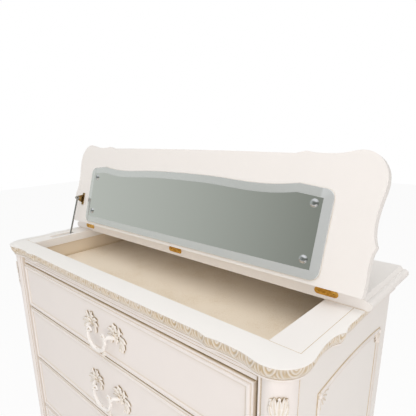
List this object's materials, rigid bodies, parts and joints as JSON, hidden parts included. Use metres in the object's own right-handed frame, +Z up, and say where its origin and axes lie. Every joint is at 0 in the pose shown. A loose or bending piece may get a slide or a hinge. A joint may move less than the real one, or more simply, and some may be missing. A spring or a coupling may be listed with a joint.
{
  "type": "chest of drawers with lift-up mirrored top",
  "caption": "White painted chest of drawers whose serpentine top lifts on hinges over a felt-lined compartment and shows a mirror; drawers slide out and a rod stay holds the lid.",
  "frame": {"origin": "bottom centre of the overall box, lid open and drawers shut", "axes": "+X to the right seen from the front, +Y to the back, +Z up"},
  "size_m": [0.921, 0.448, 1.2776],
  "materials": {
    "painted_wood": "brushed white paint, antiqued in the hollows",
    "inner_wood": "plain sanded",
    "felt": "napped",
    "mirror": "bevelled edge",
    "chrome": "polished",
    "hinge_brass": "satin",
    "bracket_brass": "aged",
    "stay_steel": "satin",
    "handle_metal": "white paint rubbed to brown in the hollows"
  },
  "bodies": {
    "carcass": {"apron_front": "painted_wood", "apron_left": "painted_wood", "apron_right": "painted_wood", "back_panel": "inner_wood", "back_post_left": "painted_wood", "back_post_right": "painted_wood", "compartment_back_wall": "painted_wood", "compartment_floor": "painted_wood", "compartment_front_wall": "painted_wood", "compartment_left_wall": "painted_wood", "compartment_right_wall": "painted_wood", "corner_leaf_left": "painted_wood", "corner_leaf_right": "painted_wood", "cornice_front": "painted_wood", "cornice_left": "painted_wood", "cornice_right": "painted_wood", "dust_board_1": "inner_wood", "dust_board_2": "inner_wood", "dust_board_3": "inner_wood", "dust_board_4": "inner_wood", "dust_board_5": "inner_wood", "felt_lining": "felt", "frame_back_rail": "painted_wood", "frame_front_rail": "painted_wood", "frame_left_edging": "painted_wood", "frame_left_rail": "painted_wood", "frame_right_edging": "painted_wood", "frame_right_rail": "painted_wood", "front_foot_left": "painted_wood", "front_foot_right": "painted_wood", "front_post_left": "painted_wood", "front_post_right": "painted_wood", "hinge_plates": "hinge_brass", "rear_top_board": "painted_wood", "side_moulding_left": "painted_wood", "side_moulding_right": "painted_wood", "side_panel_left": "painted_wood", "side_panel_right": "painted_wood"},
    "lid": {"lid_board": "painted_wood", "lid_hinge_plates": "hinge_brass", "mirror_glass": "mirror", "mirror_caps": "chrome", "stay_bracket": "bracket_brass"},
    "stay": {"stay_rod": "stay_steel"},
    "drawer_1": {"drawer_front_1": "painted_wood", "drawer_tray_1": "inner_wood", "drawer_handle_1": "handle_metal"},
    "drawer_2": {"drawer_front_2": "painted_wood", "drawer_tray_2": "inner_wood", "drawer_handle_2": "handle_metal"},
    "drawer_3": {"drawer_front_3": "painted_wood", "drawer_tray_3": "inner_wood", "drawer_handle_3": "handle_metal"},
    "drawer_4": {"drawer_front_4": "painted_wood", "drawer_tray_4": "inner_wood", "drawer_handle_4": "handle_metal"},
    "drawer_5": {"drawer_front_5": "painted_wood", "drawer_tray_5": "inner_wood", "drawer_handle_5": "handle_metal"}
  },
  "joints": [
    {"name": "lid_hinge", "type": "hinge", "parent": "carcass", "child": "lid", "pos_m": [0, 0.022, 1.042], "axis": [-1, 0, 0], "range_deg": [-106.5, 0]},
    {"name": "stay_pivot", "type": "hinge", "parent": "lid", "child": "stay", "pos_m": [-0.4052, 0.00064, 1.12342], "axis": [-1, 0, 0], "range_deg": [0, 87.6]},
    {"name": "drawer_1_slide", "type": "slide", "parent": "carcass", "child": "drawer_1", "axis": [0, -1, 0], "range_m": [0, 0.3]},
    {"name": "drawer_2_slide", "type": "slide", "parent": "carcass", "child": "drawer_2", "axis": [0, -1, 0], "range_m": [0, 0.3]},
    {"name": "drawer_3_slide", "type": "slide", "parent": "carcass", "child": "drawer_3", "axis": [0, -1, 0], "range_m": [0, 0.3]},
    {"name": "drawer_4_slide", "type": "slide", "parent": "carcass", "child": "drawer_4", "axis": [0, -1, 0], "range_m": [0, 0.3]},
    {"name": "drawer_5_slide", "type": "slide", "parent": "carcass", "child": "drawer_5", "axis": [0, -1, 0], "range_m": [0, 0.3]}
  ],
  "couplings": [
    {"joint": "stay_pivot", "follows": "lid_hinge", "ratio": -0.8225}
  ]
}
